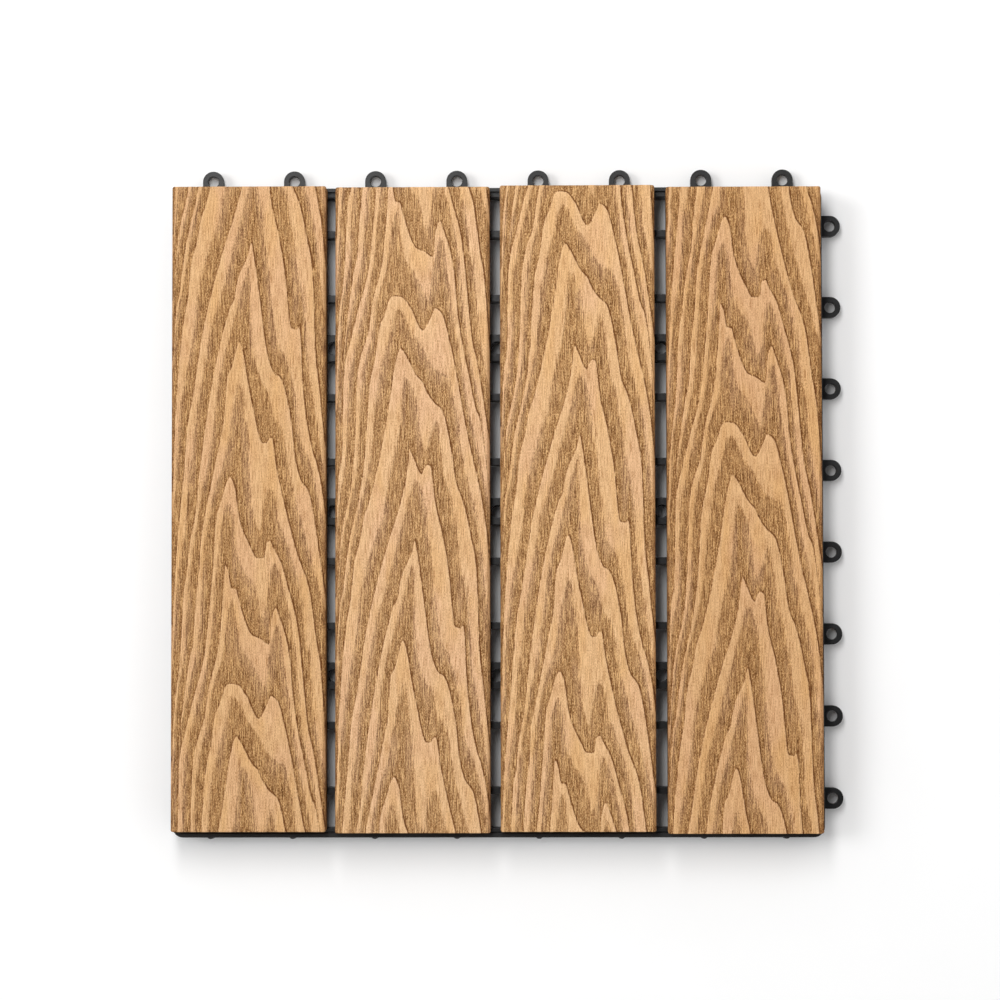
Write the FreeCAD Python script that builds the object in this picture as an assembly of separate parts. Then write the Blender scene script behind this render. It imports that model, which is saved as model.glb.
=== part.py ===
import FreeCAD, Part
import os

# Interlocking deck tile: four composite slats held from below on one moulded plastic base.
# Millimetres. +Z is up, the floor is z = 0 and the origin is the middle of the tile's pitch square.
# The slats run along Y. Loops stand out at +X and +Y, pins hang inside the edges at -X and -Y.

# Laying pitch: the square that one tile takes up on the floor
PITCH = 300.0

# Frame of the base: an outer wall, a web and an inner wall
BASE_HEIGHT = 12.0
FRAME_PLAY = 1.4
FRAME_CORNER_RADIUS = 5.0
OUTER_WALL = 1.8
GROOVE = 0.9
INNER_WALL = 1.6
WEB_TOP = 10.6
WEB_BOTTOM = 9.0

# Slats
SLAT_COUNT = 4
SLAT_GAP = 4.6
SLAT_END_MARGIN = 1.65
SLAT_THICKNESS = 10.0
SLAT_EDGE_RADIUS = 1.3
SLAT_GROOVE_COUNT = 4
SLAT_GROOVE_WIDTH = 5.0
SLAT_GROOVE_DEPTH = 1.0
# How far each slat lies off its place across and along, within the play of hand assembly
SLAT_PLAY = ((-0.6, 1.4), (-1.0, 0.85), (-0.95, 1.4), (-0.2, 0.5))

# Ribs of the grid
RIB_BOTTOM = 3.0
CROSS_RIB = 3.2
LONG_RIB = 2.4
RING_RIB = 2.8
CROSS_RIB_SHARE = 0.303

# Ring bosses, seen between the slats: they are the feet of the grid too
RING_BLOCK = 12.2
RING_TOP = 11.4
RING_HOLE_RADIUS = 2.9

# Screw bosses, two near either end of every slat
SCREW_BOSS = 9.0

# Loops and pins of the joint between two tiles
LOOPS_PER_SIDE = 8
LOOP_STAND_OUT = 2.8
LOOP_RADIUS = 4.85
LOOP_HOLE_RADIUS = 2.5
LOOP_BOTTOM = 0.6
LOOP_TOP = 4.8
PIN_PLAY = 0.2
PIN_ROOT_RADIUS = 2.1
PIN_BOTTOM = 0.8
NOTCH_PLAY = 0.45

# Lengths that follow from the ones above
FRAME_HALF = PITCH / 2 - FRAME_PLAY
GROOVE_OUTSIDE = FRAME_HALF - OUTER_WALL
GROOVE_INSIDE = GROOVE_OUTSIDE - GROOVE
GRID_HALF = GROOVE_INSIDE - INNER_WALL
SLAT_PITCH = PITCH / SLAT_COUNT
SLAT_WIDTH = SLAT_PITCH - SLAT_GAP
SLAT_LENGTH = 2 * (FRAME_HALF - SLAT_END_MARGIN)
SLAT_MIDDLES = [SLAT_PITCH * (i - (SLAT_COUNT - 1) / 2) for i in range(SLAT_COUNT)]
RING_PLACES = [SLAT_PITCH * (i - SLAT_COUNT / 2) for i in range(1, SLAT_COUNT)]
LOOP_PITCH = PITCH / LOOPS_PER_SIDE
LOOP_PLACES = [LOOP_PITCH * (i - (LOOPS_PER_SIDE - 1) / 2) for i in range(LOOPS_PER_SIDE)]
LOOP_CENTRE = PITCH / 2 + LOOP_STAND_OUT
PIN_CENTRE = LOOP_CENTRE - PITCH
PIN_RADIUS = LOOP_HOLE_RADIUS - PIN_PLAY
NOTCH_TOP = LOOP_TOP + NOTCH_PLAY
NOTCH_HALF_WIDTH = LOOP_RADIUS + NOTCH_PLAY
NOTCH_DEPTH = PIN_CENTRE + LOOP_RADIUS + NOTCH_PLAY
SCREW_ALONG = (PITCH - SLAT_PITCH) / 2
PAST = 1.0


def box(x0, x1, y0, y1, z0, z1):
    """A block between two corners."""
    return Part.makeBox(x1 - x0, y1 - y0, z1 - z0, FreeCAD.Vector(x0, y0, z0))


def post(x, y, z0, z1, radius):
    """An upright cylinder."""
    return Part.makeCylinder(radius, z1 - z0, FreeCAD.Vector(x, y, z0))


def upright(edge):
    """Whether an edge runs along Z."""
    bounds = edge.BoundBox
    return bounds.ZLength > 0.1 and bounds.XLength < 0.01 and bounds.YLength < 0.01


def square_slab(half, corner, z0, z1):
    """A square slab with rounded corners, centred on the tile."""
    slab = box(-half, half, -half, half, z0, z1)
    return slab.makeFillet(corner, [e for e in slab.Edges if upright(e)])


def channel(z0, z1):
    """The space between the two walls of the frame over a stretch of height."""
    outside = square_slab(GROOVE_OUTSIDE, FRAME_CORNER_RADIUS - OUTER_WALL, z0, z1)
    return outside.cut(box(-GROOVE_INSIDE, GROOVE_INSIDE, -GROOVE_INSIDE, GROOVE_INSIDE, z0, z1))


def frame():
    """Outer wall, web and inner wall: the channel between the walls is open above and below."""
    walls = square_slab(FRAME_HALF, FRAME_CORNER_RADIUS, 0.0, BASE_HEIGHT)
    inside = box(-GRID_HALF, GRID_HALF, -GRID_HALF, GRID_HALF, -PAST, BASE_HEIGHT + PAST)
    above = channel(WEB_TOP, BASE_HEIGHT + PAST)
    below = channel(-PAST, WEB_BOTTOM)
    return walls.cut([inside, above, below])


def cross_rib_places():
    """Where the ribs across the slats lie: one on either side of every row of ring bosses."""
    step = CROSS_RIB_SHARE * SLAT_PITCH
    edge = PITCH / 2 - step
    return [-edge, edge] + [row + side * step for row in RING_PLACES for side in (-1, 1)]


def ribs():
    """The crossing ribs of the grid. Those along the slats run from every loop to its pin's place."""
    reach = GRID_HALF + INNER_WALL / 2
    parts = []
    for y in cross_rib_places():
        parts.append(box(-reach, reach, y - CROSS_RIB / 2, y + CROSS_RIB / 2, RIB_BOTTOM, BASE_HEIGHT))
    for y in RING_PLACES:
        parts.append(box(-reach, reach, y - RING_RIB / 2, y + RING_RIB / 2, RIB_BOTTOM, RING_TOP))
    for x in LOOP_PLACES:
        parts.append(box(x - LONG_RIB / 2, x + LONG_RIB / 2, -reach, reach, RIB_BOTTOM, BASE_HEIGHT))
    return parts


def ring_places():
    """Centres of the ring bosses."""
    return [(x, y) for x in RING_PLACES for y in RING_PLACES]


def ring_bosses():
    """Square feet on the crossings of the ring ribs and the gaps."""
    half = RING_BLOCK / 2
    return [box(x - half, x + half, y - half, y + half, 0.0, RING_TOP) for x, y in ring_places()]


def ring_holes():
    """The holes through the ring bosses."""
    return [post(x, y, -PAST, RING_TOP + PAST, RING_HOLE_RADIUS) for x, y in ring_places()]


def screw_bosses():
    """Square blocks on the long ribs, which take the screws into the slats."""
    half = SCREW_BOSS / 2
    parts = []
    for x in LOOP_PLACES:
        for y in (-SCREW_ALONG, SCREW_ALONG):
            parts.append(box(x - half, x + half, y - half, y + half, RIB_BOTTOM, BASE_HEIGHT))
    return parts


def loop_centres():
    """Centres of the loops on the +X side and on the +Y side."""
    return [(LOOP_CENTRE, t) for t in LOOP_PLACES] + [(t, LOOP_CENTRE) for t in LOOP_PLACES]


def loops():
    """Eyes with straight flanks that stand out low on the +X and +Y walls."""
    root = FRAME_HALF - OUTER_WALL / 2
    parts = []
    for t in LOOP_PLACES:
        flank_0 = t - LOOP_RADIUS
        flank_1 = t + LOOP_RADIUS
        parts.append(box(root, LOOP_CENTRE, flank_0, flank_1, LOOP_BOTTOM, LOOP_TOP))
        parts.append(box(flank_0, flank_1, root, LOOP_CENTRE, LOOP_BOTTOM, LOOP_TOP))
    for x, y in loop_centres():
        parts.append(post(x, y, LOOP_BOTTOM, LOOP_TOP, LOOP_RADIUS))
    return parts


def loop_holes():
    """The holes that a neighbour's pins go into."""
    return [post(x, y, -PAST, LOOP_TOP + PAST, LOOP_HOLE_RADIUS) for x, y in loop_centres()]


def notches():
    """Mouse-holes at the foot of the -X and -Y sides, which let a neighbour's loops in."""
    outside = -FRAME_HALF - PAST
    cuts = []
    for t in LOOP_PLACES:
        side_0 = t - NOTCH_HALF_WIDTH
        side_1 = t + NOTCH_HALF_WIDTH
        cuts.append(box(outside, NOTCH_DEPTH, side_0, side_1, -PAST, NOTCH_TOP))
        cuts.append(box(side_0, side_1, outside, NOTCH_DEPTH, -PAST, NOTCH_TOP))
    return cuts


def pins():
    """Pins in the notches of the -X and -Y sides, on slimmer roots that bulge out of the wall."""
    centres = [(PIN_CENTRE, t) for t in LOOP_PLACES] + [(t, PIN_CENTRE) for t in LOOP_PLACES]
    parts = []
    for x, y in centres:
        parts.append(post(x, y, PIN_BOTTOM, NOTCH_TOP, PIN_RADIUS))
        parts.append(post(x, y, NOTCH_TOP, WEB_TOP, PIN_ROOT_RADIUS))
    return parts


def base_grid():
    """The whole moulding in one piece."""
    solid = frame().fuse(ribs() + ring_bosses() + screw_bosses() + loops())
    solid = solid.cut(notches())
    solid = solid.fuse(pins())
    solid = solid.cut(ring_holes() + loop_holes())
    return solid.removeSplitter()


def board(middle, off_middle):
    """A slat's block with its two long top edges rounded."""
    left = middle - SLAT_WIDTH / 2
    near = off_middle - SLAT_LENGTH / 2
    top = BASE_HEIGHT + SLAT_THICKNESS
    block = box(left, left + SLAT_WIDTH, near, near + SLAT_LENGTH, BASE_HEIGHT, top)
    long_edges = [e for e in block.Edges if e.BoundBox.ZMin > top - 0.01 and e.BoundBox.XLength < 0.01]
    return block.makeFillet(SLAT_EDGE_RADIUS, long_edges)


def slat(index):
    """One slat with the grooves of its underside."""
    across, along = SLAT_PLAY[index]
    middle = SLAT_MIDDLES[index] + across
    cuts = []
    for i in range(SLAT_GROOVE_COUNT):
        x = middle + (i - (SLAT_GROOVE_COUNT - 1) / 2) * SLAT_WIDTH / SLAT_GROOVE_COUNT
        cuts.append(box(x - SLAT_GROOVE_WIDTH / 2, x + SLAT_GROOVE_WIDTH / 2, -PITCH, PITCH,
                        BASE_HEIGHT - PAST, BASE_HEIGHT + SLAT_GROOVE_DEPTH))
    return board(middle, along).cut(cuts)


def write(name, shape):
    """Write one node, once it is known to be a single sound solid."""
    if not shape.isValid() or len(shape.Solids) != 1:
        raise ValueError(name + " is not one valid solid")
    shape.Solids[0].exportStep("parts/" + name + ".step")


os.makedirs("parts", exist_ok=True)
write("base_grid", base_grid())
for index in range(SLAT_COUNT):
    write("slat_" + str(index + 1), slat(index))
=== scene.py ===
import math

import bpy
import numpy as np
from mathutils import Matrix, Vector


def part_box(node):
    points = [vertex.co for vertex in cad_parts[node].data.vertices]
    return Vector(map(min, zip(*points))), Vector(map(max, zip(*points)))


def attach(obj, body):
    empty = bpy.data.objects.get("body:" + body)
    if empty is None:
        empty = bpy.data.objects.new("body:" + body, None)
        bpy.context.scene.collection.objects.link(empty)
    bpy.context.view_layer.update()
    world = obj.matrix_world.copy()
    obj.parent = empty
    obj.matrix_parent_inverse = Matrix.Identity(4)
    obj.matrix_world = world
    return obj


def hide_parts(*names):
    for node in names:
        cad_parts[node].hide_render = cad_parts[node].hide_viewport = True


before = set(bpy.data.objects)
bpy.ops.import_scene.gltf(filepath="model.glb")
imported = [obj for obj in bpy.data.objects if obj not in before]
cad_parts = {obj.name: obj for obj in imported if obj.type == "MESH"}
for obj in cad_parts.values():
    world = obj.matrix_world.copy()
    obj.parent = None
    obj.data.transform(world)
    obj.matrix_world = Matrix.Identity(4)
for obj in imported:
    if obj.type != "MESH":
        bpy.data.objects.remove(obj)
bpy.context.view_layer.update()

# Looks of the interlocking deck tile: four embossed composite slats over one black moulded base.
# Object lengths are in metres. The grain of the slats is laid out in millimetres and called so.

MM = 0.001

# Camera
CAMERA_PLACE = (26.7, -60.4, 1500.0)
CAMERA_TURN = (2.52, 0.99, -0.09)
LENS = 117.3
SENSOR = 36.0


def make_camera():
    """The camera of the photograph: nearly straight above the tile."""
    data = bpy.data.cameras.new("camera")
    data.lens = LENS
    data.sensor_width = SENSOR
    data.clip_start = 0.01
    data.clip_end = 50.0
    camera = bpy.data.objects.new("camera", data)
    camera.location = [MM * c for c in CAMERA_PLACE]
    camera.rotation_euler = [math.radians(a) for a in CAMERA_TURN]
    bpy.context.scene.collection.objects.link(camera)
    bpy.context.scene.camera = camera


# Shader graphs
class Graph:
    """A material or world under construction: makes nodes and links them."""

    def __init__(self, tree):
        self.tree = tree
        self.tree.nodes.clear()

    def add(self, kind, settings=None, **inputs):
        """A node; each input is a value or another node's output, its name's spaces as underscores."""
        node = self.tree.nodes.new(kind)
        for name, value in (settings or {}).items():
            setattr(node, name, value)
        for name, value in inputs.items():
            self.feed(self.socket(node, name), value)
        return node

    def socket(self, node, name):
        """An input by its name, or by its number written as n0, n1 and so on."""
        if name[0] == "n" and name[1:].isdigit():
            return node.inputs[int(name[1:])]
        return node.inputs[name.replace("_", " ")]

    def feed(self, socket, value):
        """Link an output to an input, or set the input's own value."""
        if isinstance(value, bpy.types.NodeSocket):
            self.tree.links.new(value, socket)
        else:
            socket.default_value = value

    def math(self, operation, a, b=0.0, c=0.0):
        """The result of a sum on up to three numbers."""
        node = self.add("ShaderNodeMath", {"operation": operation}, n0=a, n1=b, n2=c)
        return node.outputs[0]

    def ramp(self, value, low, high):
        """0 below low, 1 above high and smooth between."""
        node = self.add("ShaderNodeMapRange", {"interpolation_type": "SMOOTHSTEP"},
                        Value=value, From_Min=low, From_Max=high)
        return node.outputs[0]

    def mix(self, factor, a, b):
        """Blend of two colours."""
        node = self.add("ShaderNodeMix", {"data_type": "RGBA"})
        self.feed(node.inputs[0], factor)
        self.feed(node.inputs[6], a)
        self.feed(node.inputs[7], b)
        return node.outputs[2]

    def blend(self, factor, a, b):
        """Blend of two numbers."""
        node = self.add("ShaderNodeMix", {"data_type": "FLOAT"})
        self.feed(node.inputs[0], factor)
        self.feed(node.inputs[2], a)
        self.feed(node.inputs[3], b)
        return node.outputs[0]

    def place(self, size_mm, shift=(0.0, 0.0, 0.0)):
        """Object coordinates in cells of a size given in millimetres."""
        coordinates = self.add("ShaderNodeTexCoord").outputs["Object"]
        scale = [1.0 / (MM * s) for s in size_mm]
        return self.add("ShaderNodeMapping", None, Vector=coordinates, Scale=scale,
                        Location=shift).outputs[0]

    def noise(self, size_mm, detail=2.0, roughness=0.5, shift=(0.0, 0.0, 0.0)):
        """Noise with cells of the given size, about 0 to 1 around a half."""
        node = self.add("ShaderNodeTexNoise", None, Vector=self.place(size_mm, shift),
                        Scale=1.0, Detail=detail, Roughness=roughness)
        return node.outputs[0]

    def tint(self, factor, colour, tint):
        """A colour multiplied by a tint, as far as the factor says."""
        node = self.add("ShaderNodeMix", {"data_type": "RGBA", "blend_type": "MULTIPLY"})
        self.feed(node.inputs[0], factor)
        self.feed(node.inputs[6], colour)
        self.feed(node.inputs[7], tint)
        return node.outputs[2]

    def bump(self, height, distance):
        """A normal for a surface whose height varies by the distance given."""
        node = self.add("ShaderNodeBump", None, Height=height, Distance=distance, Strength=1.0)
        return node.outputs[0]

    def attribute(self, name):
        """A value that the mesh carries at its points."""
        node = self.add("ShaderNodeAttribute", {"attribute_name": name})
        return node.outputs["Fac"]


def srgb(red, green, blue):
    """A colour written in 0 to 255, as the shader takes it."""
    def linear(c):
        c = c / 255.0
        return c / 12.92 if c <= 0.04045 else ((c + 0.055) / 1.055) ** 2.4
    return (linear(red), linear(green), linear(blue), 1.0)


def new_material(name):
    """An empty material and its graph."""
    material = bpy.data.materials.new(name)
    material.use_nodes = True
    return material, Graph(material.node_tree)


def finish_surface(graph, **inputs):
    """End a graph in a Principled surface with these inputs."""
    surface = graph.add("ShaderNodeBsdfPrincipled", None, **inputs)
    output = graph.add("ShaderNodeOutputMaterial")
    graph.feed(output.inputs["Surface"], surface.outputs[0])


# Wood composite
LIGHT_BAND = srgb(232, 190, 143)
LIGHT_BAND_GOLD = srgb(229, 184, 132)
LIGHT_BAND_PINK = srgb(231, 187, 147)
# a painted highlight along the sharp edges of the light bands
PAINTED_HIGHLIGHT = srgb(244, 206, 160)
LIGHT_FIBRE = srgb(160, 110, 62)
BROWN_PALE = srgb(177, 132, 86)
BROWN_MAUVE = srgb(182, 140, 103)
BROWN_DEEP = srgb(164, 119, 73)
FIBRE_DARK = srgb(84, 44, 10)
FIBRE_PALE = srgb(232, 188, 134)
# dark brown of dirt and painted shade in the crease at the foot of each sharp edge
CREASE_DIRT_AND_SHADE = srgb(100, 50, 6)
# Painted shade on the long rounded edges and the sides, which turn away from the light, makes them
# darker
EDGE_SHADE_TINT = srgb(212, 203, 192)


# Cells of the noise in the wood, in millimetres across, along and up a slat
HATCH_CELL = (0.7, 8.0, 0.5)
LINE_CELL = (0.17, 6.5, 0.5)
GRIT_CELL = (0.22, 0.8, 0.5)
BREAK_CELL = (1.2, 5.0, 1.5)
CLOUD_CELL = (7.0, 45.0, 7.0)
PATCH_CELL = (16.0, 40.0, 16.0)
# What part of the fibres each of the first three makes up
HATCH_SHARE = 0.1
LINE_SHARE = 0.5
GRIT_SHARE = 0.4
# How strongly pink patches, painted highlight rims, pale specks and the dark crease of dirt and
# painted shade show
PINK_AMOUNT = 0.8
PAINTED_HIGHLIGHT_AMOUNT = 0.2
SPECK_AMOUNT = 0.5
CREASE_DIRT_AND_SHADE_AMOUNT = 0.8
FIBRE_BUMP = 0.25


def light_share(g, band, fade, ragged):
    """1 on the light bands and 0 between them: the fade says how soft the change is."""
    node = g.add("ShaderNodeMapRange", {"interpolation_type": "SMOOTHSTEP"},
                 Value=g.math("ADD", band, ragged),
                 From_Min=g.math("MULTIPLY", fade, -0.45),
                 From_Max=g.math("MULTIPLY", fade, 1.45))
    return node.outputs[0]


def light_wood(g, band, crisp, fibres, clouds, patches):
    """Colour of the smooth light bands, with a painted highlight along their sharp edges."""
    colour = g.mix(g.ramp(clouds, 0.4, 0.65), LIGHT_BAND, LIGHT_BAND_GOLD)
    pink = g.math("MULTIPLY", g.ramp(patches, 0.45, 0.65), PINK_AMOUNT)
    colour = g.mix(pink, colour, LIGHT_BAND_PINK)
    # a painted highlight just inside each sharp edge, where the raised band's step catches the light
    rim = g.math("MULTIPLY", g.ramp(band, 1.3, 0.3), g.ramp(crisp, 0.3, 0.9))
    colour = g.mix(g.math("MULTIPLY", rim, PAINTED_HIGHLIGHT_AMOUNT), colour, PAINTED_HIGHLIGHT)
    strands = g.math("MULTIPLY", g.ramp(fibres, 0.58, 0.36), g.blend(crisp, 0.85, 0.62))
    return g.mix(strands, colour, LIGHT_FIBRE)


def brown_wood(g, crisp, fibres, grit, patches):
    """Colour of the brushed brown ground, deepest towards the sharp edges."""
    colour = g.mix(g.ramp(patches, 0.42, 0.6), BROWN_PALE, BROWN_MAUVE)
    colour = g.mix(g.ramp(crisp, 0.0, 0.8), colour, BROWN_DEEP)
    amount = g.blend(crisp, 0.74, 0.86)
    dark = g.math("MULTIPLY", g.ramp(fibres, 0.52, 0.36), amount)
    pale = g.math("MULTIPLY", g.ramp(fibres, 0.49, 0.63), amount)
    colour = g.mix(pale, g.mix(dark, colour, FIBRE_DARK), FIBRE_PALE)
    specks = g.math("MULTIPLY", g.ramp(grit, 0.62, 0.74), g.ramp(crisp, 0.1, 0.9))
    return g.mix(g.math("MULTIPLY", specks, SPECK_AMOUNT), colour, FIBRE_PALE)


def crease_dirt_and_shade_share(g, band, ragged, crease, broken):
    """How much dirt and painted shade lie in the crease at the foot of a sharp edge."""
    near = g.math("ADD", band, g.math("MULTIPLY", ragged, 0.3))
    foot = g.math("MULTIPLY", g.ramp(near, -0.75, -0.4), g.ramp(near, 0.12, -0.08))
    foot = g.math("MULTIPLY", foot, g.math("MULTIPLY", crease, g.ramp(broken, 0.36, 0.5)))
    return g.math("MULTIPLY", foot, CREASE_DIRT_AND_SHADE_AMOUNT)


def wood_material(name, tint, seed):
    """Embossed composite: smooth light bands, brushed brown between them."""
    material, g = new_material(name)
    shift = (seed * 17.0, seed * 31.0, 0.0)
    band = g.attribute("band")
    fade = g.attribute("fade")
    crisp = g.attribute("crisp")
    grit = g.noise(GRIT_CELL, 0.0, 0.5, shift)
    lines = g.math("MULTIPLY", g.noise(LINE_CELL, 0.0, 0.5, shift), LINE_SHARE)
    fibres = g.math("MULTIPLY_ADD", g.noise(HATCH_CELL, 0.0, 0.5, shift), HATCH_SHARE, lines)
    fibres = g.math("MULTIPLY_ADD", grit, GRIT_SHARE, fibres)
    broken = g.noise(BREAK_CELL, 1.0, 0.5, shift)
    clouds = g.noise(CLOUD_CELL, 2.0, 0.5, shift)
    patches = g.noise(PATCH_CELL, 2.0, 0.5, (seed * 5.0, seed * 11.0, 0.0))
    # fibres make the edges of the light bands ragged, most of all on the soft side
    ragged = g.math("MULTIPLY", g.math("SUBTRACT", fibres, 0.5),
                    g.math("MULTIPLY_ADD", fade, 1.8, 0.4))
    light = light_share(g, band, fade, ragged)
    colour = g.mix(light, brown_wood(g, crisp, fibres, grit, patches),
                   light_wood(g, band, crisp, fibres, clouds, patches))
    # dirt and painted shade in the crease at the foot of each sharp edge
    colour = g.mix(crease_dirt_and_shade_share(g, band, ragged, g.attribute("crease"), broken), colour, CREASE_DIRT_AND_SHADE)
    # painted shade darkens the long edges and the sides, then the slat's own tint follows
    colour = g.tint(1.0, g.tint(g.attribute("edge"), colour, EDGE_SHADE_TINT), tint)
    depth = g.blend(light, 1.0, 0.45)
    normal = g.bump(g.math("MULTIPLY", fibres, depth), FIBRE_BUMP * MM)
    rough = g.blend(light, 0.75, 0.6)
    finish_surface(g, Base_Color=colour, Roughness=rough, Normal=normal,
                   Specular_IOR_Level=0.15)
    return material


# Embossed grain, in millimetres: after how much of it the pattern repeats, where it starts on
# each slat and how far it lies to the right
GRAIN_PERIOD = 312.4
GRAIN_START = (0.0, 176.8, 224.0, 119.2)
GRAIN_SIDEWAYS = 0.25
# How wide a light band's edge is on its sharp side, and at most on its soft side
SHARP_FADE = 0.2
SOFT_FADE = 0.85
SOFT_FADE_LEAST = 0.3
# How dark the crease of dirt and painted shade is on a band's left flank, which faces the light, as a
# share of that on its right flank, which faces away from it
LEFT_CREASE_SHADE = 0.35
# Stands for a distance too far to matter
FAR = 99.0
# The rings of the grain, seen from above. Each has an outer line, where a light band starts
# sharply, and an inner line, where it fades out. A point says how far it lies from the slat's left
# edge and how deep down the pattern. The points were measured on the photo and thinned by a
# program, not chosen by hand.
GRAIN_RINGS = (
    (((0.4, 200), (1.6, 176), (5.6, 128), (6.8, 112), (9.4, 96), (14.4, 64), (22.4, 32),
      (31.6, 0), (34, -15), (34.9, -13), (39.3, -4.3), (40, -6.5), (42, -8.6), (43.2, -7.8),
      (45.2, 8), (48.8, 24), (51.4, 40), (54.3, 65), (56.8, 65.6), (57.6, 64.4), (58.8, 72),
      (59, 80), (63.8, 120), (66.2, 128), (69.2, 144), (70.4, 156)),
     ((0.4, 226), (2.8, 184), (6.8, 152), (7.6, 136), (10, 120), (10.4, 112), (14.4, 88),
      (18.4, 64), (21, 56), (31.4, 16), (36.5, -1), (41.2, 16), (41.8, 24), (43.2, 32),
      (44.4, 48), (48, 72), (51.8, 80), (55.8, 96), (57.8, 112), (63.2, 128), (70.4, 160))),
    (((0.4, 262), (1.2, 240), (3.8, 216), (5.6, 184), (7, 176), (7.6, 168), (11.4, 144),
      (12, 136), (26.2, 56), (28.6, 50), (28.9, 47), (34.6, 31), (36, 26), (37.2, 32),
      (44.2, 80), (47, 86), (48.6, 86.8), (55, 112), (55.6, 120), (58.6, 134), (62, 139),
      (70.4, 190)),
     ((0.4, 280), (3, 232), (6.6, 208), (7, 196), (12, 152), (20, 104), (20.6, 96),
      (27.8, 64), (34, 40), (35, 37), (36.2, 72), (39.8, 88), (44, 96), (45.5, 104),
      (50, 112), (52.8, 128), (70.4, 196))),
    (((0.4, 290), (3.8, 250), (8.2, 216), (9.8, 208), (10.8, 192), (13, 168), (13.4, 160),
      (14.8, 152), (22.6, 112), (24, 104), (25, 88), (27, 83), (30.6, 71.3), (35.8, 96),
      (41.4, 117.4), (43.2, 117.2), (44.4, 115.2), (45.4, 115), (47.6, 128), (57.2, 168),
      (62.6, 184), (66, 208), (67.4, 216), (70.4, 256)),
     ((0.4, 290), (3, 258), (9.2, 224), (12.4, 208), (15.9, 160), (20.6, 136), (23.4, 128),
      (29.6, 96), (30.8, 92), (34.8, 120), (36, 144), (40, 157.5), (42.6, 144), (45, 139),
      (47.4, 144), (48.2, 152), (51.2, 160), (59.4, 192), (61, 208), (63, 216), (64.2, 236),
      (70.4, 272))),
    (((0.4, 334), (1.2, 312), (3, 296), (3.6, 264), (6.6, 248), (10.4, 232), (14.6, 216),
      (18.6, 176), (20.2, 152), (22.4, 144), (26.5, 133), (28.4, 136.5), (30.8, 152),
      (36, 165), (38.8, 169.8), (41.6, 169.8), (42.6, 167.5), (42.9, 163), (45, 162),
      (45.8, 164), (49.6, 171.5), (53.2, 184), (57.2, 200), (62.4, 248), (64.2, 256),
      (70.4, 296)),
     ((0.4, 344), (2, 320), (5.2, 298), (5.7, 272), (7.8, 256), (13, 232), (18, 208),
      (19.2, 192), (22, 168), (23.4, 152), (25.6, 146), (27.8, 152), (29.6, 168),
      (37.6, 184), (41.2, 196.5), (43.8, 191), (44.3, 184), (47, 172.5), (47.8, 174.5),
      (54.4, 200), (59.8, 248), (65.8, 280), (70.4, 320))),
    (((0.4, 364), (2.6, 336), (7.2, 312), (8.6, 296), (9.8, 264), (15.4, 240), (16.4, 232),
      (21.6, 208), (23.6, 184), (24.3, 173), (25.8, 176), (27.2, 183.4), (29.4, 184),
      (30.1, 187), (36.8, 204.8), (40.4, 206.4), (44, 208.8), (44.8, 207.4), (45.1, 200),
      (47.6, 192.4), (48.6, 195), (54, 216), (55.3, 232), (60.8, 264), (64, 279),
      (65.3, 282), (70.4, 318)),
     ((0.4, 372), (2.6, 344), (7.2, 320), (10.8, 294), (11.1, 280), (17.4, 240),
      (18.4, 232), (23, 216), (27.8, 189), (30.6, 208), (35.8, 217), (40, 225),
      (42.4, 229), (45.2, 212), (48.3, 201), (51.6, 224), (60.8, 280), (64.2, 296),
      (70.4, 326))),
    (((0.4, 392), (1.9, 368), (3.4, 360), (5.4, 344), (13.6, 296), (14, 288), (16, 264),
      (17.8, 256), (20.2, 240), (22, 236), (25.2, 227.3), (27, 226.8), (30, 227.2),
      (34, 232), (39.6, 242.4), (43.6, 236), (45.2, 232.4), (48.2, 234.6), (52, 248),
      (59.6, 288), (67.8, 328), (70.4, 352)),
     ((0.4, 396), (3, 368), (4.8, 360), (8.4, 336), (16.6, 296), (18.8, 272), (24.2, 248),
      (28.6, 233.5), (34.8, 244.5), (37.6, 248), (44.6, 260), (48, 262.5), (50.4, 263.5),
      (56.2, 288), (57, 296), (65.4, 336), (67.8, 360), (70.4, 380))),
    (((0.4, 452), (1.6, 416), (5, 376), (7.4, 360), (8, 352), (11.4, 336), (12.8, 328),
      (15.4, 320), (25, 272), (26, 264), (29.6, 250.6), (30.8, 252), (37.2, 263.6),
      (39.6, 266.2), (41, 269.6), (44.6, 275.2), (48.4, 279), (52.4, 296), (54.8, 312),
      (57.8, 320), (61.4, 336), (64.5, 360), (64.8, 376), (67.4, 408), (70.4, 436)),
     ((0.4, 464), (1.6, 456), (2.6, 432), (10.4, 376), (11.2, 368), (18.8, 336),
      (21.8, 328), (23, 320), (29.4, 288), (32, 265), (35.6, 272), (40.2, 298),
      (44.4, 288), (45.4, 284.8), (49.8, 312), (52.6, 320), (53.4, 328), (55.2, 336),
      (55.9, 345), (60, 368), (62.2, 400), (63.8, 408), (70.4, 450))),
)


def smooth_step(x):
    """0 below 0, 1 above 1 and smooth between."""
    x = np.clip(x, 0, 1)
    return x * x * (3 - 2 * x)


def line_slopes(x, y):
    """Slopes at the points of a line that make its cubic pieces rise and fall only with them."""
    steps = np.diff(x)
    rises = np.diff(y) / steps
    slopes = np.zeros(len(x))
    slopes[0] = rises[0]
    slopes[-1] = rises[-1]
    for i in range(1, len(x) - 1):
        if rises[i - 1] * rises[i] > 0:
            before = 2 * steps[i] + steps[i - 1]
            after = steps[i] + 2 * steps[i - 1]
            slopes[i] = (before + after) / (before / rises[i - 1] + after / rises[i])
    return slopes


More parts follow.
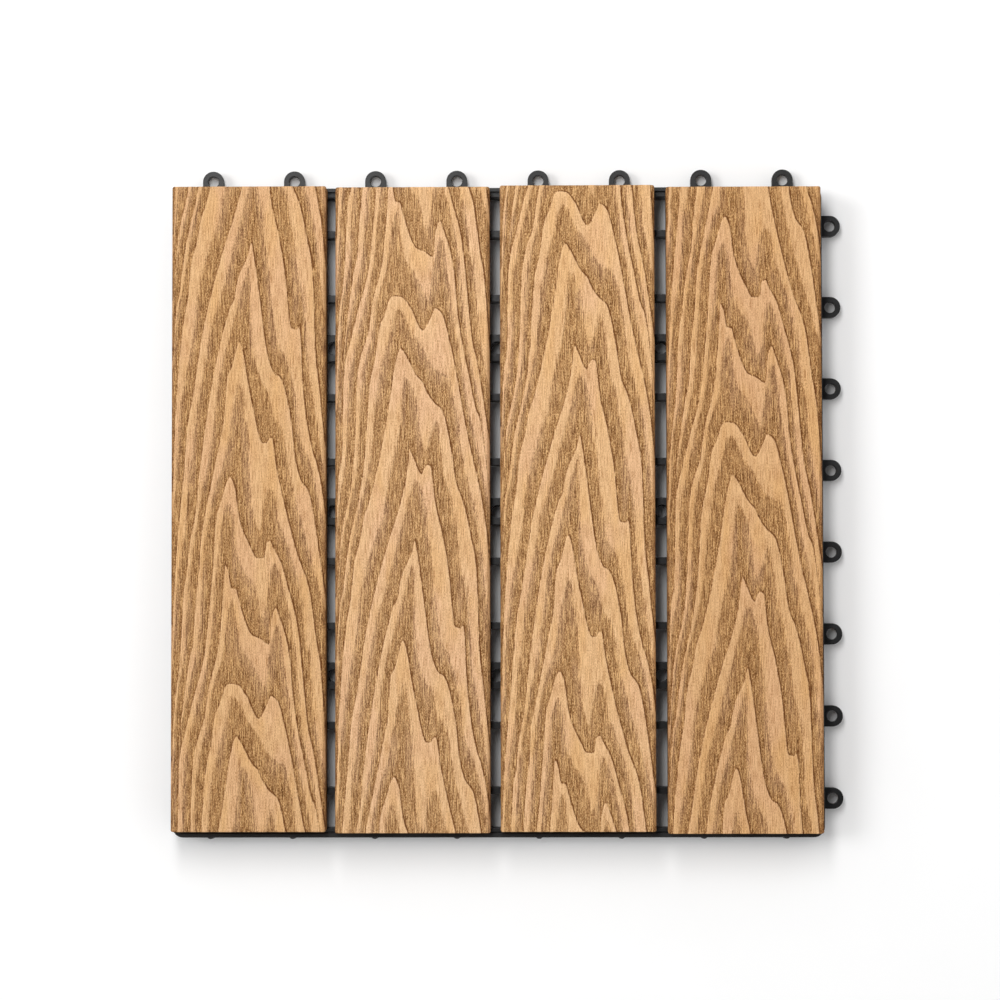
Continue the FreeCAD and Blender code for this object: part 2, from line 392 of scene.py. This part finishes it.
def line_depths(points, across):
    """How deep a grain line lies at each place across the slat."""
    x, y = np.array(points, float).T
    slopes = line_slopes(x, y)
    across = np.clip(across, x[0], x[-1])
    i = np.clip(np.searchsorted(x, across) - 1, 0, len(x) - 2)
    step = x[i + 1] - x[i]
    s = (across - x[i]) / step
    start = y[i] * (1 + 2 * s) * (1 - s) ** 2 + step * slopes[i] * s * (1 - s) ** 2
    end = y[i + 1] * s * s * (3 - 2 * s) + step * slopes[i + 1] * s * s * (s - 1)
    return start + end


def grain(across, along, start):
    """For places on a slat: the distance in from the edge of the nearest light band, less than 0
    outside it; how wide the band's fade is there; how near the sharp edges are, 1 at a sharp edge
    and 0 at a soft one; and how strongly the crease at a sharp edge is darkened with dirt and
    painted shade, more on the right flanks that face away from the light."""
    across = across - GRAIN_SIDEWAYS
    depth = np.mod(along + start, GRAIN_PERIOD)[:, None]
    band = np.full((len(along), len(across)), -FAR)
    fade = np.zeros_like(band)
    share = np.zeros_like(band)
    crease = np.zeros_like(band)
    to_sharp = np.full_like(band, FAR)
    to_soft = np.full_like(band, FAR)
    for outer, inner in GRAIN_RINGS:
        outer_depths = line_depths(outer, across)
        inner_depths = line_depths(inner, across)
        outer_slope = np.gradient(outer_depths, across)
        outer_lean = np.sqrt(1 + outer_slope ** 2)
        inner_lean = np.sqrt(1 + np.gradient(inner_depths, across) ** 2)
        # painted shade: the crease is darker on right flanks, which face away from the light
        right_flank_shade = LEFT_CREASE_SHADE + (1 - LEFT_CREASE_SHADE) * smooth_step(0.5 + 0.5 * outer_slope)
        for turn in (-1, 0, 1):
            past_outer = (depth + turn * GRAIN_PERIOD - outer_depths) / outer_lean
            before_inner = (inner_depths - depth - turn * GRAIN_PERIOD) / inner_lean
            inside = np.minimum(past_outer, before_inner)
            thickness = np.maximum(past_outer + before_inner, 0.05)
            share_here = np.clip(past_outer / thickness, 0, 1)
            soft_fade = np.clip(0.25 + 0.14 * thickness, SOFT_FADE_LEAST, SOFT_FADE)
            nearer = inside > band
            band = np.where(nearer, inside, band)
            fade = np.where(nearer, SHARP_FADE + (soft_fade - SHARP_FADE) * share_here, fade)
            share = np.where(nearer, share_here, share)
            crease = np.where(nearer, right_flank_shade * (share_here < 0.5), crease)
            to_sharp = np.where(past_outer < 0, np.minimum(to_sharp, -past_outer), to_sharp)
            to_soft = np.where(before_inner < 0, np.minimum(to_soft, -before_inner), to_soft)
    crisp = np.where(band > 0, 1 - share, to_soft / (to_soft + to_sharp))
    return band, fade, crisp, crease


# Slats, in millimetres
SLAT_NAMES = ("slat_1", "slat_2", "slat_3", "slat_4")
SLAT_TINTS = (srgb(248, 245, 238), srgb(255, 255, 255), srgb(255, 254, 250), srgb(246, 241, 232))
SAWN_DARK = srgb(160, 118, 76)
SAWN_PALE = srgb(214, 170, 122)
EDGE_RADIUS = 1.3
CORNER_RADIUS = 0.9
EMBOSS_DEPTH = 0.34
BRUSH_DEPTH = 0.08
BRUSH_ROWS = 4
CELL_ACROSS = 0.42
CELL_ALONG = 0.85
# Rows of points near either end of a slat, and where the even rows start
END_ROWS = (0.0, 0.15, 0.4)
MIDDLE_ROWS_START = 0.9
GROOVE_COUNT = 4
GROOVE_WIDTH = 5.0
GROOVE_DEPTH = 1.0
END_WEAR = 0.35
END_WEAR_REACH = 0.4
TOP_CLEARANCE = 0.06
# How wide the painted shade of the left and the right long edge is, and how wide its fade is
EDGE_SHADE_WIDTH = (0.4, 0.9)
EDGE_SHADE_FADE = 0.9


def brushed_noise(random, rows, columns):
    """Noise drawn out along the rows, as a wire brush leaves it, about -1 to 1."""
    raw = random.standard_normal((rows + BRUSH_ROWS - 1, columns))
    window = np.hanning(BRUSH_ROWS + 2)[1:-1]
    window /= np.sqrt((window ** 2).sum())
    drawn = np.stack([np.convolve(raw[:, i], window, "valid") for i in range(columns)], axis=1)
    return np.clip(drawn, -2.5, 2.5)


def slat_profile(width, thickness):
    """Cross-section of a slat: places across and heights from its left foot over the top to its
    right foot, and the same for its grooved underside on the way back."""
    top_count = int(round((width - 2 * EDGE_RADIUS) / CELL_ACROSS))
    angles = np.radians(np.linspace(180, 90, 6))
    left_x = EDGE_RADIUS + EDGE_RADIUS * np.cos(angles)
    left_z = thickness - EDGE_RADIUS + EDGE_RADIUS * np.sin(angles)
    top_x = np.linspace(EDGE_RADIUS, width - EDGE_RADIUS, top_count + 1)[1:-1]
    side_z = np.array([0.0, 2.5, 5.5])
    x = np.concatenate([np.zeros(3), left_x, top_x, width - left_x[::-1], np.full(3, width)])
    z = np.concatenate([side_z, left_z, np.full(len(top_x), thickness), left_z[::-1],
                        side_z[::-1]])
    under_x = []
    under_z = []
    for i in reversed(range(GROOVE_COUNT)):
        middle = width / 2 + (i - (GROOVE_COUNT - 1) / 2) * width / GROOVE_COUNT
        half = GROOVE_WIDTH / 2
        under_x += [middle + half, middle + half, middle - half, middle - half]
        under_z += [0.0, GROOVE_DEPTH, GROOVE_DEPTH, 0.0]
    return x, z, np.array(under_x), np.array(under_z)


def slat_rows(length):
    """Places along a slat where its cross-section is repeated, closer together at the ends."""
    ends = np.array(END_ROWS)
    count = int(round(length / CELL_ALONG))
    middle_rows = np.linspace(MIDDLE_ROWS_START, length - MIDDLE_ROWS_START, count)
    return np.concatenate([ends, middle_rows, (length - ends)[::-1]])


def slat_heights(rows, length, z, reach, band, fade, random):
    """Heights of the points: the profile, with the embossed relief and brush marks on its top and
    its ends worn round."""
    slope = 2.2 * fade - 0.15
    raised = smooth_step(0.5 + (band + 0.15) / (2 * slope))
    brush = BRUSH_DEPTH * brushed_noise(random, len(rows), len(z))
    relief = -EMBOSS_DEPTH * (1 - raised) + brush * (0.25 + 0.75 * (1 - raised)) - TOP_CLEARANCE
    to_end = np.minimum(rows, length - rows)[:, None]
    worn = END_WEAR * (1 - np.sqrt(1 - (1 - np.clip(to_end / END_WEAR_REACH, 0, 1)) ** 2))
    return z[None, :] + relief * reach[None, :] - worn * reach[None, :]


def slat_lengths(off_middle, length, x, width):
    """How far along the points lie: the ends draw in near the long edges, which rounds the corners
    in plan."""
    to_side = np.minimum(x, width - x)
    draw_in = CORNER_RADIUS - np.sqrt(np.maximum(
        CORNER_RADIUS ** 2 - np.maximum(CORNER_RADIUS - to_side, 0) ** 2, 0))
    return off_middle * (length / 2 - draw_in[None, :]) / (length / 2)


def slat_faces(row_count, around):
    """Quads between neighbouring rows, and one face over either end."""
    grid = np.arange(row_count * around).reshape(row_count, around)
    right = np.roll(grid, -1, axis=1)
    quads = np.stack([grid[:-1], right[:-1], right[1:], grid[1:]], axis=2).reshape(-1, 4)
    faces = [tuple(q) for q in quads.tolist()]
    faces.append(tuple(grid[0, ::-1].tolist()))
    faces.append(tuple(grid[-1].tolist()))
    return faces


def add_layers(mesh, layers, reach, under_count):
    """Give the material its values at the points: each layer has a name, values for the points of
    the profile and one value for all that the embossing doesn't reach."""
    pad = ((0, 0), (0, under_count))
    for label, values, empty in layers:
        attribute = mesh.attributes.new(label, "FLOAT", "POINT")
        values = np.where(reach[None, :] > 0, values, empty)
        values = np.pad(values, pad, constant_values=empty)
        attribute.data.foreach_set("value", values.reshape(-1).astype(np.float32))


def make_slat(index):
    """One slat, whose rows of points follow the profile and are joined along its length."""
    name = SLAT_NAMES[index]
    low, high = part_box(name)
    width, length, thickness = [(b - a) / MM for a, b in zip(low, high)]
    x, z, under_x, under_z = slat_profile(width, thickness)
    rows = slat_rows(length)
    band, fade, crisp, crease = grain(x, rows, GRAIN_START[index])
    # how far a point is on the top, where the embossing roller reaches
    reach = smooth_step((z - (thickness - EDGE_RADIUS)) / EDGE_RADIUS)
    random = np.random.RandomState(40 + index)
    heights = slat_heights(rows, length, z, reach, band, fade, random)
    off_middle = rows[:, None] - length / 2
    along = slat_lengths(off_middle, length, x, width)
    under_shape = (len(rows), len(under_x))
    all_x = np.concatenate([np.broadcast_to(x[None, :], along.shape),
                            np.broadcast_to(under_x, under_shape)], axis=1)
    all_y = np.concatenate([along, np.broadcast_to(off_middle, under_shape)], axis=1)
    all_z = np.concatenate([heights, np.broadcast_to(under_z, under_shape)], axis=1)
    # rows go down the photograph, from the slat's +Y end
    world = np.stack([low.x + MM * all_x, (low.y + high.y) / 2 - MM * all_y,
                      low.z + MM * all_z], axis=2).reshape(-1, 3)
    faces = slat_faces(len(rows), all_x.shape[1])
    mesh = bpy.data.meshes.new(name + "_wood")
    mesh.from_pydata(world.tolist(), [], faces)
    # painted shade along the long edges, reaching further in on the right edge, away from the light
    from_edges = np.minimum(x - EDGE_SHADE_WIDTH[0], width - x - EDGE_SHADE_WIDTH[1])
    edge = np.broadcast_to(1 - smooth_step(from_edges / EDGE_SHADE_FADE), band.shape)
    layers = (("band", band, -9.0), ("fade", fade, 0.4), ("crisp", crisp, 0.5),
              ("crease", crease, 0.0), ("edge", edge, 1.0))
    add_layers(mesh, layers, reach, len(under_x))
    mesh.polygons.foreach_set("use_smooth", [True] * (len(faces) - 2) + [False, False])
    mesh.materials.append(wood_material("wood_" + str(index + 1), SLAT_TINTS[index], index))
    mesh.materials.append(bpy.data.materials["wood_cut"])
    mesh.polygons[len(faces) - 2].material_index = 1
    mesh.polygons[len(faces) - 1].material_index = 1
    mesh.update()
    slat = bpy.data.objects.new(name + "_wood", mesh)
    bpy.context.scene.collection.objects.link(slat)
    mesh.set_sharp_from_angle(angle=math.radians(50))
    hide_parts(name)
    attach(slat, "root")


def cut_material():
    """Sawn ends: composite with flecks of filler and saw marks."""
    material, g = new_material("wood_cut")
    flecks = g.noise((0.6, 0.6, 0.6), 3.0, 0.7)
    saw = g.noise((1.5, 9.0, 0.35), 1.0)
    colour = g.mix(g.ramp(flecks, 0.3, 0.7), SAWN_DARK, SAWN_PALE)
    normal = g.bump(g.math("ADD", saw, flecks), 0.2 * MM)
    finish_surface(g, Base_Color=colour, Roughness=0.8, Normal=normal)


# Moulded base, in millimetres
BASE_ROUNDING = 0.18
WELD_DISTANCE = 0.002
PLASTIC_DARK = srgb(20, 20, 21)
PLASTIC_PALE = srgb(27, 27, 28)


def plastic_material():
    """Black polypropylene with a fine spark-eroded texture and a few dull patches."""
    material, g = new_material("black_plastic")
    texture = g.noise((0.35, 0.35, 0.35), 2.0, 0.6)
    patches = g.noise((14.0, 14.0, 14.0), 2.0, 0.5)
    colour = g.mix(g.ramp(patches, 0.3, 0.7), PLASTIC_DARK, PLASTIC_PALE)
    rough = g.blend(g.ramp(patches, 0.3, 0.7), 0.36, 0.46)
    normal = g.bump(texture, 0.05 * MM)
    finish_surface(g, Base_Color=colour, Roughness=rough, Normal=normal,
                   Specular_IOR_Level=0.42)
    return material


def dress_base():
    """The moulding keeps its mesh: modifiers weld it and round its edges."""
    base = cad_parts["base_grid"]
    base.data.materials.clear()
    base.data.materials.append(plastic_material())
    weld = base.modifiers.new("weld", "WELD")
    weld.merge_threshold = WELD_DISTANCE * MM
    bevel = base.modifiers.new("rounding", "BEVEL")
    bevel.width = BASE_ROUNDING * MM
    bevel.segments = 2
    bevel.limit_method = "ANGLE"
    bevel.angle_limit = math.radians(40)
    bevel.use_clamp_overlap = False
    bevel.harden_normals = False


# Screws, in millimetres
SCREW_HEAD_RADIUS = 3.2
SCREW_HEAD_HEIGHT = 1.9
SCREW_RECESS = 1.3
SCREW_RECESS_WIDTH = 0.55
SCREW_RECESS_REACH = 1.7
STEEL_DARK = srgb(170, 170, 172)
STEEL_PALE = srgb(205, 204, 202)
# Two screws lie side by side under each end of a slat, on the bottoms of the screw bosses
PITCH = 300.0
SCREW_COLUMNS = 2 * len(SLAT_NAMES)
SCREW_PITCH = PITCH / SCREW_COLUMNS
SCREW_ALONG = (PITCH - PITCH / len(SLAT_NAMES)) / 2
SCREW_BOSS_BOTTOM = 3.0


def steel_material():
    """Stainless steel with a little wear."""
    material, g = new_material("stainless")
    wear = g.noise((0.8, 0.8, 0.8), 3.0, 0.6)
    colour = g.mix(wear, STEEL_DARK, STEEL_PALE)
    rough = g.blend(wear, 0.25, 0.42)
    finish_surface(g, Base_Color=colour, Roughness=rough, Metallic=1.0,
                   Normal=g.bump(wear, 0.03 * MM))
    return material


def screw_mesh():
    """Pan head seen from below: a dome over rings of points, with a cross sunk into it."""
    rings = np.linspace(0, SCREW_HEAD_RADIUS, 15)[1:]
    turns = np.radians(np.arange(0, 360, 7.5))
    radius, turn = np.meshgrid(rings, turns, indexing="ij")
    x = radius * np.cos(turn)
    y = radius * np.sin(turn)
    dome = SCREW_HEAD_HEIGHT * np.sqrt(np.maximum(1 - (radius / (SCREW_HEAD_RADIUS * 1.04)) ** 2, 0))
    arm = np.minimum(np.abs(x), np.abs(y)) - SCREW_RECESS_WIDTH
    reach = np.maximum(np.abs(x), np.abs(y)) - SCREW_RECESS_REACH
    inside = smooth_step(-np.maximum(arm, reach) / 0.25)
    depth = dome - SCREW_RECESS * inside
    points = [(0.0, 0.0, -(SCREW_HEAD_HEIGHT - SCREW_RECESS))]
    points += np.stack([x, y, -depth], axis=2).reshape(-1, 3).tolist()
    count = len(turns)
    faces = [(0, 1 + (i + 1) % count, 1 + i) for i in range(count)]
    for ring in range(len(rings) - 1):
        first = 1 + ring * count
        for i in range(count):
            j = (i + 1) % count
            faces.append((first + i, first + j, first + count + j, first + count + i))
    # the flat side that bears on the boss
    last = len(points)
    points += [(SCREW_HEAD_RADIUS * math.cos(t), SCREW_HEAD_RADIUS * math.sin(t), 0.0) for t in turns]
    rim = last - count
    for i in range(count):
        j = (i + 1) % count
        faces.append((rim + i, rim + j, last + j, last + i))
    faces.append(tuple(last + i for i in range(count)))
    mesh = bpy.data.meshes.new("screw")
    mesh.from_pydata([[MM * c for c in p] for p in points], [], faces)
    mesh.materials.append(steel_material())
    mesh.polygons.foreach_set("use_smooth", [True] * len(faces))
    mesh.set_sharp_from_angle(angle=math.radians(40))
    return mesh


def make_screws():
    """Sixteen screws up through the bosses, under either end of every slat."""
    mesh = screw_mesh()
    random = np.random.RandomState(7)
    number = 0
    for i in range(SCREW_COLUMNS):
        across = SCREW_PITCH * (i - (SCREW_COLUMNS - 1) / 2)
        for side in (-1, 1):
            number += 1
            screw = bpy.data.objects.new("screw_" + str(number), mesh)
            bpy.context.scene.collection.objects.link(screw)
            screw.location = (MM * across, MM * SCREW_ALONG * side, MM * SCREW_BOSS_BOTTOM)
            screw.rotation_euler = (0, 0, random.uniform(0, math.pi / 2))
            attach(screw, "root")


# Floor and light
FLOOR_HALF = 6.0


def make_floor():
    """A white floor that keeps the shadows."""
    material, g = new_material("floor")
    speck = g.noise((40.0, 40.0, 40.0), 2.0, 0.5)
    colour = g.mix(speck, srgb(252, 252, 252), srgb(255, 255, 255))
    finish_surface(g, Base_Color=colour, Roughness=0.9, Specular_IOR_Level=0.0)
    mesh = bpy.data.meshes.new("floor")
    corners = [(-1, -1), (1, -1), (1, 1), (-1, 1)]
    mesh.from_pydata([(FLOOR_HALF * x, FLOOR_HALF * y, 0) for x, y in corners], [], [(0, 1, 2, 3)])
    mesh.materials.append(material)
    floor = bpy.data.objects.new("floor", mesh)
    bpy.context.scene.collection.objects.link(floor)


# A strip lamp hangs over the upper left of the tile: its middle, half sizes and power
STRIP_PLACE = (-180.0, 600.0, 1064.0)
STRIP_HALF = (151.0, 630.0)
STRIP_POWER = 7.6
# A wide soft lamp to the left: its height and side in degrees, how wide it looks, and its share
# of the light on the floor
WIDE_HEIGHT = 44.0
WIDE_SIDE = 170.3
WIDE_WIDTH = 22.0
WIDE_SHARE = 0.172
# The surround is bright at the sides and dark overhead, where a direction's rise passes
# CEILING_EDGE. Reflections show a white surround with a darker ceiling still.
SIDES = 0.85
CEILING = 0.18
CEILING_SHOWN = 0.054
CEILING_EDGE = (0.76, 0.79)


def add_lamp(name, data):
    """A lamp in the scene."""
    lamp = bpy.data.objects.new(name, data)
    bpy.context.scene.collection.objects.link(lamp)
    return lamp


def make_light():
    """A strip lamp above, a wide soft lamp to the left and a surround with a dark ceiling."""
    strip = bpy.data.lights.new("strip", "AREA")
    strip.shape = "ELLIPSE"
    strip.size = 2 * MM * STRIP_HALF[0]
    strip.size_y = 2 * MM * STRIP_HALF[1]
    strip.energy = STRIP_POWER
    add_lamp("strip", strip).location = [MM * c for c in STRIP_PLACE]
    wide = bpy.data.lights.new("wide", "SUN")
    wide.angle = math.radians(WIDE_WIDTH)
    wide.energy = WIDE_SHARE * math.pi / math.sin(math.radians(WIDE_HEIGHT))
    turn = (0, math.radians(90 - WIDE_HEIGHT), math.radians(WIDE_SIDE))
    add_lamp("wide", wide).rotation_euler = turn
    world = bpy.data.worlds.new("surround")
    world.use_nodes = True
    bpy.context.scene.world = world
    g = Graph(world.node_tree)
    path = g.add("ShaderNodeLightPath")
    seen = g.math("MAXIMUM", path.outputs["Is Camera Ray"], path.outputs["Is Transmission Ray"])
    direction = g.add("ShaderNodeTexCoord").outputs["Generated"]
    rise = g.add("ShaderNodeSeparateXYZ", None, Vector=direction).outputs["Z"]
    ceiling = g.ramp(rise, *CEILING_EDGE)
    lit = g.blend(ceiling, SIDES, CEILING)
    shown = g.blend(ceiling, 1.0, CEILING_SHOWN)
    strength = g.blend(path.outputs["Is Glossy Ray"], lit, shown)
    strength = g.blend(seen, strength, 1.0)
    background = g.add("ShaderNodeBackground", None, Color=(1, 1, 1, 1), Strength=strength)
    output = g.add("ShaderNodeOutputWorld")
    g.feed(output.inputs["Surface"], background.outputs[0])


bpy.context.scene.view_settings.view_transform = "Standard"
make_camera()
cut_material()
for slat_index in range(len(SLAT_NAMES)):
    make_slat(slat_index)
dress_base()
make_screws()
make_floor()
make_light()
